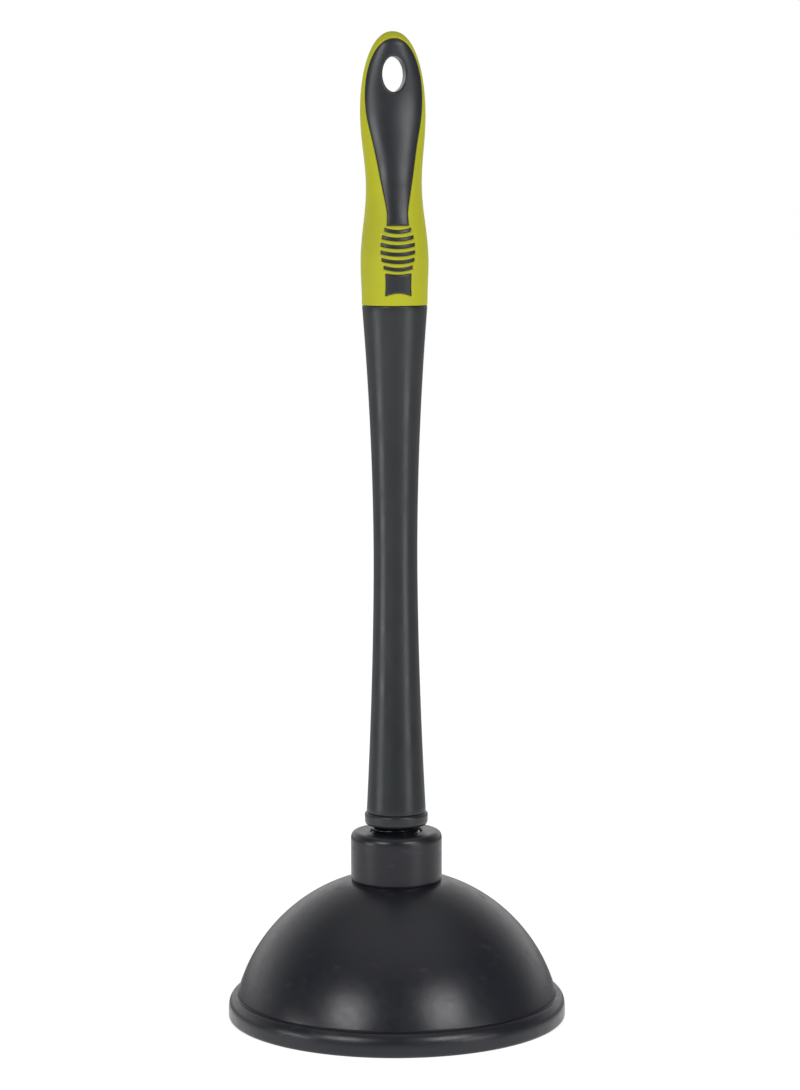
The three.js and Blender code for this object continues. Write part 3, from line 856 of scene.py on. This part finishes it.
def core_depth(grid):
    """How far the core lies below the grip's outer form: nearly flush in the panel and the tail, deeper
    in the slots, under the skin elsewhere, and rounded over at the eye."""
    windows, eye = grid.away[:-1], grid.away[-1]
    inside = -windows.min(axis=0)
    in_slot = -windows[2:].min(axis=0) >= inside - TOUCHING
    raised = PANEL_RECESS + edge_drop(np.maximum(inside, 0), PANEL_EDGE)
    depth = np.where(inside >= -TOUCHING, np.where(in_slot, SLOT_DEPTH, raised), SKIN + CORE_CLEARANCE)
    crown = PANEL_CROWN * (1 - np.exp(-np.maximum(-windows[0], 0) / PANEL_CROWN_REACH))
    depth = depth - np.where(inside > 0, crown, 0)
    return depth + edge_drop(np.maximum(eye, 0), EYE_EDGE)


def eye_wall(grid, surface, front):
    """The wall through the grip from each front edge of the eye straight back to its partner behind."""
    def partner(i):
        row, column = divmod(i, GRIP_COLUMNS)
        return row * GRIP_COLUMNS + (-column) % GRIP_COLUMNS

    points, chain = [], {}
    for i in sorted({i for edge in front for i in edge}):
        start, end = surface[i], surface[partner(i)]
        between = [start + (end - start) * t for t in np.linspace(0, 1, EYE_WALL_STEPS + 1)[1:-1]]
        first = len(surface) + len(points)
        chain[i] = [i] + list(range(first, first + len(between))) + [partner(i)]
        points += between
    faces = [(chain[b][k], chain[a][k], chain[a][k + 1], chain[b][k + 1])
             for a, b in front
             for k in range(EYE_WALL_STEPS)]
    return np.array(points), faces


def make_core():
    """The hard core: raised in the windows, sunk under the skin elsewhere, with the eye through it."""
    grid = GripGrid(WINDOWS + [eye_outline()])
    surface = grid.point - grid.normal * core_depth(grid)[:, None]
    faces = kept_faces(grid.faces(), grid.away[-1])
    rims = open_edges(faces)
    bottom = [(a, b) for a, b in rims if max(a, b) < GRIP_COLUMNS]
    front = [(a, b) for a, b in rims if max(a, b) >= GRIP_COLUMNS and math.sin(grid.angle[a]) < 0]
    wall_points, walls = eye_wall(grid, surface, front)
    # the bottom end, closed in to the spigot that goes into the shaft
    ring = np.stack([np.cos(GRIP_ANGLES), np.sin(GRIP_ANGLES), 0 * GRIP_ANGLES], axis=-1)
    ring *= SPIGOT_RADIUS / MM
    ring_from = len(surface) + len(wall_points)
    collar = [(b, a, ring_from + a, ring_from + b) for a, b in bottom]
    points = to_frame(np.concatenate([surface, wall_points, ring]))
    spigot = turned(
        rounded([
            (SPIGOT_RADIUS, GRIP_Z, 0),
            (SPIGOT_RADIUS, GRIP_Z - SPIGOT_LENGTH, CORE_SPIGOT_EDGE),
            (0, GRIP_Z - SPIGOT_LENGTH, 0),
        ], closed=False), GRIP_COLUMNS)
    return mesh_piece("hard_core", [(points, faces + walls + collar), spigot], CORE_PLASTIC)


# ---------------------------------------------------------------- pieces on their bodies

def place(piece, body, node):
    """Puts a piece on its body, in place of its CAD node, which it hides."""
    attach(piece, body)
    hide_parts(node)
    return piece


place(make_rim(), "cup", "cup_rim")
bell = place(make_bell(), "cup", "cup_bell")
place(make_socket(), "socket", "cup_socket")
place(make_ferrule(), "ferrule", "ferrule")
place(make_stem(), "handle", "threaded_stem")
place(make_shaft(), "handle", "shaft_tube")
place(make_core(), "handle", "grip_core")
place(make_skin(), "handle", "grip_skin")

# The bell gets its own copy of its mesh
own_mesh(bell)


# ---------------------------------------------------------------- floor, light and camera

def make_floor():
    """A white table that only the camera sees. Below the horizon the object mirrors the tent instead."""
    size = 40.0
    points = [(-size, -size, 0), (size, -size, 0), (size, size, 0), (-size, size, 0)]
    n = Nodes("white_floor")
    n.shader.inputs["Base Color"].default_value = (0.5, 0.5, 0.5, 1)
    n.shader.inputs["Emission Color"].default_value = (1, 1, 1, 1)
    n.shader.inputs["Emission Strength"].default_value = 0.8
    n.set(n.shader, "Roughness", n.ramp(n.noise(0.2), 0.3, 0.7, 0.85, 0.95))
    n.shader.inputs["Specular IOR Level"].default_value = 0.1
    floor = mesh_piece("floor", [(points, [(0, 1, 2, 3)])], n.material)
    floor.visible_glossy = False
    floor.visible_diffuse = False
    floor.visible_shadow = False


def soft_box(name, azimuth, elevation, distance, width, height, brightness, target):
    """An area light that faces the target. Azimuth 0 is in front of the grip, 90 to its right."""
    light = bpy.data.lights.new(name, "AREA")
    light.shape = "RECTANGLE"
    light.size, light.size_y = width, height
    light.energy = brightness * math.pi * width * height
    lamp = bpy.data.objects.new(name, light)
    a, e = math.radians(azimuth), math.radians(elevation)
    away = Vector((math.sin(a) * math.cos(e), -math.cos(a) * math.cos(e), math.sin(e)))
    lamp.location = Vector(target) + away * distance
    lamp.rotation_euler = away.to_track_quat("Z", "Y").to_euler()
    lamp.visible_camera = False
    bpy.context.scene.collection.objects.link(lamp)


def make_world():
    """A light tent: dark in front, bright behind and above, with a mid-grey table below.
    What the camera sees directly is white."""
    world = bpy.data.worlds.new("tent")
    bpy.context.scene.world = world
    world.use_nodes = True
    tree = world.node_tree
    link = tree.links.new

    def ramp(value, low, high, low_to, high_to):
        node = tree.nodes.new("ShaderNodeMapRange")
        numbers = {"From Min": low, "From Max": high, "To Min": low_to, "To Max": high_to}
        for name, number in numbers.items():
            node.inputs[name].default_value = number
        link(value, node.inputs["Value"])
        return node.outputs[0]

    def math_node(operation, first, second):
        node = tree.nodes.new("ShaderNodeMath")
        node.operation = operation
        link(first, node.inputs[0])
        link(second, node.inputs[1])
        return node.outputs[0]

    coords = tree.nodes.new("ShaderNodeTexCoord")
    parts = tree.nodes.new("ShaderNodeSeparateXYZ")
    link(coords.outputs["Generated"], parts.inputs[0])
    y, z = parts.outputs["Y"], parts.outputs["Z"]
    backdrop = math_node("MULTIPLY", ramp(z, -0.1, 0.08, 0.15, 1.05), ramp(z, 0.15, 0.7, 1.0, 0.42))
    behind = math_node("MULTIPLY", ramp(y, 0.1, 0.7, 0.0, 1.0), backdrop)
    overhead = ramp(z, 0.7, 0.95, 0.05, 0.6)
    table = ramp(z, -0.2, -0.15, 1.1, 0.08)
    light = math_node("MAXIMUM", math_node("MAXIMUM", behind, overhead), table)
    seen = tree.nodes.new("ShaderNodeLightPath")
    pick = math_node("MAXIMUM", seen.outputs["Is Camera Ray"], light)
    background = tree.nodes["Background"]
    background.inputs["Color"].default_value = (1, 1, 1, 1)
    link(pick, background.inputs["Strength"])


def make_camera():
    """The photographed view: a long lens above the middle of the handle, looking slightly down."""
    away, aside, height = 1.45, 0.0025, 0.38
    pitch, turn, roll = 6.65, -7.2, 0.17
    camera = bpy.data.cameras.new("camera")
    camera.lens = 109.65
    camera.sensor_width = 36
    camera.sensor_fit = "AUTO"
    camera.clip_end = 50
    rig = bpy.data.objects.new("camera", camera)
    a = math.radians(turn)
    rig.location = (math.sin(a) * away + math.cos(a) * aside,
                    math.sin(a) * aside - math.cos(a) * away,
                    height)
    rig.rotation_euler = (math.radians(90 - pitch), math.radians(roll), a)
    bpy.context.scene.collection.objects.link(rig)
    bpy.context.scene.camera = rig


make_floor()
make_world()
CUP_LOW, CUP_MIDDLE = (0, 0, 0.04), (0, 0, 0.065)
# name, azimuth and elevation in degrees, distance, width, height, brightness, target
soft_box("left_window", -44, 23, 3.5, 1.4, 1.3, 6.4, CUP_LOW)
soft_box("right_window", 30, 26, 3.5, 1.4, 1.45, 6.4, CUP_LOW)
soft_box("left_strip", -77, 0, 1.0, 0.38, 0.13, 7.0, CUP_MIDDLE)
soft_box("right_strip", 45, 0, 1.0, 0.38, 0.13, 5.8, CUP_MIDDLE)
make_camera()
bpy.context.scene.view_settings.view_transform = "Standard"
